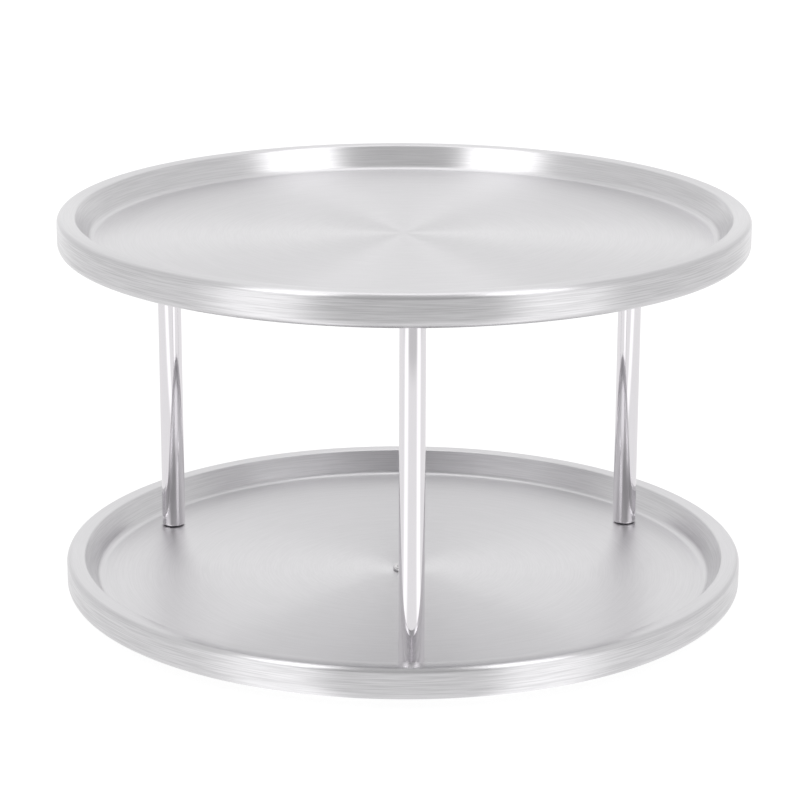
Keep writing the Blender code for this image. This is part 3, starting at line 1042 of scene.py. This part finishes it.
@dataclass(frozen=True)
class Surround:
    """How bright the studio is as the metal sees it: a white table between two tall softboxes.

    Angles are in degrees. Azimuth is 0 towards the front post and the same on both sides.
    Each pair of "from" and "to" is where one level passes into the next, or where a lit
    patch starts and ends. The two "overhead" depths and the two "rise" heights are parts of
    a direction, from -1 to 1.
    """

    table: float = 0.93
    table_front: float = 0.68
    table_side: float = 0.82
    table_back: float = 1.0
    table_side_from: float = 58.0
    table_side_to: float = 75.0
    table_back_from: float = 110.0
    table_back_to: float = 150.0
    near: float = 0.50
    far: float = 0.58
    pool: float = 1.32
    pool_from: float = 36.0
    pool_to: float = 69.0
    pool_edge: float = 9.0
    pool_apex: float = 0.09
    front: float = 0.36
    front_rise: float = 0.23
    side: float = 0.78
    side_from: float = 30.0
    side_to: float = 75.0
    back: float = 0.94
    back_rise: float = 0.13
    back_from: float = 138.0
    back_to: float = 172.0
    rise_from: float = 0.3
    rise_to: float = 0.6
    softbox: float = 2.6
    softbox_low: float = 0.85
    softbox_rise_from: float = 20.0
    softbox_rise_to: float = 36.0
    softbox_from: float = 31.0
    softbox_to: float = 62.0
    softbox_top: float = 64.0
    softbox_edge: float = 4.0
    overhead: float = 1.6
    overhead_from: float = 58.0
    overhead_to: float = 74.0
    overhead_front: float = -0.18
    overhead_back: float = 0.08

    def room_level(self, x: Value, y: Value, z: Value) -> Value:
        """Writes the brightness of the walls and the ceiling.

        Args:
            x: The direction's part to the right.
            y: The direction's part to the back.
            z: The direction's part upwards.

        Returns:
            The brightness in that direction.
        """
        azimuth = abs(x).bearing(0.0 - y)
        edge = self.softbox_edge
        boxes = self.band(azimuth, self.softbox_from, self.softbox_to, edge)
        boxes = boxes * self.above(z, self.softbox_top + edge, self.softbox_top - edge)
        rise = z.step(self.rise_from, self.rise_to)
        front = rise * self.front_rise + self.front
        back = rise * self.back_rise + self.back
        walls = front + self.past(azimuth, self.side_from, self.side_to) * (self.side - front)
        walls = walls + self.past(azimuth, self.back_from, self.back_to) * (back - walls)
        ceiling = self.above(z, self.overhead_from, self.overhead_to)
        ceiling = ceiling * y.step(self.overhead_front, self.overhead_back)
        room = walls + ceiling * (self.overhead - walls)
        glow = self.above(z, self.softbox_rise_from, self.softbox_rise_to)
        glow = glow * (self.softbox - self.softbox_low) + self.softbox_low
        return room + boxes * (glow - room)

    def table_level(self, x: Value, y: Value) -> Value:
        """Writes the brightness of the table.

        Args:
            x: The place's distance to the right.
            y: The place's distance to the back.

        Returns:
            The brightness there.
        """
        azimuth = abs(x).bearing(0.0 - y)
        fan = abs(x).bearing(0.0 - y - self.pool_apex)
        pools = self.band(fan, self.pool_from, self.pool_to, self.pool_edge)
        side = self.past(azimuth, self.table_side_from, self.table_side_to)
        back = self.past(azimuth, self.table_back_from, self.table_back_to)
        plain = side * (self.table_side - self.table_front)
        plain = plain + back * (self.table_back - self.table_side) + self.table_front
        away = (x * x + y * y).root().step(self.near, self.far)
        plain = self.table + away * (plain - self.table)
        return plain + pools * (self.pool - plain)

    @staticmethod
    def past(angle: Value, start: float, end: float) -> Value:
        """A soft rise of an angle in radians, between two angles in degrees."""
        return angle.step(math.radians(start), math.radians(end))

    @staticmethod
    def above(height: Value, start: float, end: float) -> Value:
        """A soft rise of a direction's upward part, between two elevations in degrees."""
        return height.step(math.sin(math.radians(start)), math.sin(math.radians(end)))

    @classmethod
    def band(cls, angle: Value, start: float, end: float, edge: float) -> Value:
        """1 between two angles and 0 outside them, with soft edges.

        Args:
            angle: The angle, in radians.
            start: Where the band starts, in degrees.
            end: Where it ends, in degrees.
            edge: How far each edge fades to either side, in degrees.

        Returns:
            The band.
        """
        inside = cls.past(angle, start - edge, start + edge)
        return inside * cls.past(angle, end + edge, end - edge)


@dataclass
class Studio:
    """A plain pale floor, soft light and the camera."""

    camera_azimuth: float = -1.65
    camera_elevation: float = 16.38
    camera_distance: float = 1.1132
    camera_roll: float = 0.0035
    lens: float = 127.2
    target_height: float = 0.07773
    shift: float = -0.0045
    clip_start: float = 0.05
    floor_size: float = 12.0
    floor_grey: float = 0.12
    floor_roughness: float = 0.9
    floor_glow: float = 0.93
    backdrop: float = 1.1
    surround: Surround = Surround()

    def build(self) -> None:
        """Sets up the floor, the light and the camera."""
        self.lay_floor()
        self.light_world()
        self.aim_camera(Vector((0.0, 0.0, self.target_height)))
        bpy.context.scene.view_settings.view_transform = "Standard"

    def lay_floor(self) -> None:
        """Lays a wide white floor that glows, as on a light table."""
        shape = bmesh.new()
        bmesh.ops.create_grid(shape, x_segments=1, y_segments=1, size=self.floor_size / 2.0)
        mesh = bpy.data.meshes.new("studio_floor")
        shape.to_mesh(mesh)
        shape.free()
        material = bpy.data.materials.new("white_floor")
        material.use_nodes = True
        sheet = NodeSheet(material.node_tree)
        _, x, y, _ = sheet.place()
        level = self.surround.table_level(x, y)
        lit = sheet.add("ShaderNodeEmission", None, {"Color": WHITE, "Strength": level})
        sockets = {
            "Base Color": (self.floor_grey, self.floor_grey, self.floor_grey, 1.0),
            "Roughness": self.floor_roughness,
            "Emission Color": WHITE,
            "Emission Strength": self.floor_glow,
        }
        plain = sheet.add("ShaderNodeBsdfPrincipled", None, sockets)
        self.show_plain(sheet, lit, plain, "ShaderNodeOutputMaterial")
        mesh.materials.append(material)
        floor = bpy.data.objects.new("studio_floor", mesh)
        bpy.context.scene.collection.objects.link(floor)

    def light_world(self) -> None:
        """Lights the object from all round, and shows the camera plain white."""
        world = bpy.data.worlds.new("studio")
        bpy.context.scene.world = world
        world.use_nodes = True
        sheet = NodeSheet(world.node_tree)
        direction = sheet.add("ShaderNodeTexCoord").outputs["Generated"]
        split = sheet.add("ShaderNodeSeparateXYZ", None, {0: direction})
        x, y, z = (Value(sheet, socket) for socket in split.outputs)
        level = self.surround.room_level(x, y, z)
        lit = sheet.add("ShaderNodeBackground", None, {"Color": WHITE, "Strength": level})
        backdrop = {"Color": WHITE, "Strength": self.backdrop}
        plain = sheet.add("ShaderNodeBackground", None, backdrop)
        self.show_plain(sheet, lit, plain, "ShaderNodeOutputWorld")

    @staticmethod
    def show_plain(sheet: NodeSheet, lit: bpy.types.Node, plain: bpy.types.Node, end: str) -> None:
        """Ends a sheet so that the camera sees one shader and every other ray another.

        Args:
            sheet: The sheet to end.
            lit: The shader that lights the object.
            plain: The shader that the camera sees.
            end: The type of the output node.
        """
        seen = sheet.add("ShaderNodeLightPath").outputs["Is Camera Ray"]
        sockets = {0: seen, 1: lit.outputs[0], 2: plain.outputs[0]}
        mixed = sheet.add("ShaderNodeMixShader", None, sockets)
        sheet.add(end, None, {"Surface": mixed.outputs[0]})

    def aim_camera(self, target: Vector) -> None:
        """Places the camera.

        Args:
            target: The point that it looks at.
        """
        across, up = math.radians(self.camera_azimuth), math.radians(self.camera_elevation)
        flat = math.cos(up)
        away = Vector((math.sin(across) * flat, -math.cos(across) * flat, math.sin(up)))
        lens = bpy.data.cameras.new("camera")
        lens.lens = self.lens
        lens.shift_x = self.shift
        lens.clip_start = self.clip_start
        camera = bpy.data.objects.new("camera", lens)
        camera.location = target + away * self.camera_distance
        turn = (-away).to_track_quat("-Z", "Y") @ Quaternion((0.0, 0.0, 1.0), self.camera_roll)
        camera.rotation_euler = turn.to_euler()
        bpy.context.scene.collection.objects.link(camera)
        bpy.context.scene.camera = camera


def main() -> None:
    """Builds the turntable's looks and the studio."""
    logging.basicConfig(level=logging.INFO, format="%(name)s %(message)s")
    Studio().build()
    Tray("upper_tray", dimpled=False).build()
    Tray("lower_tray", dimpled=True).build()
    Posts().build()
    Base().build()
    Bearing().build()


if __name__ == "__main__":
    main()
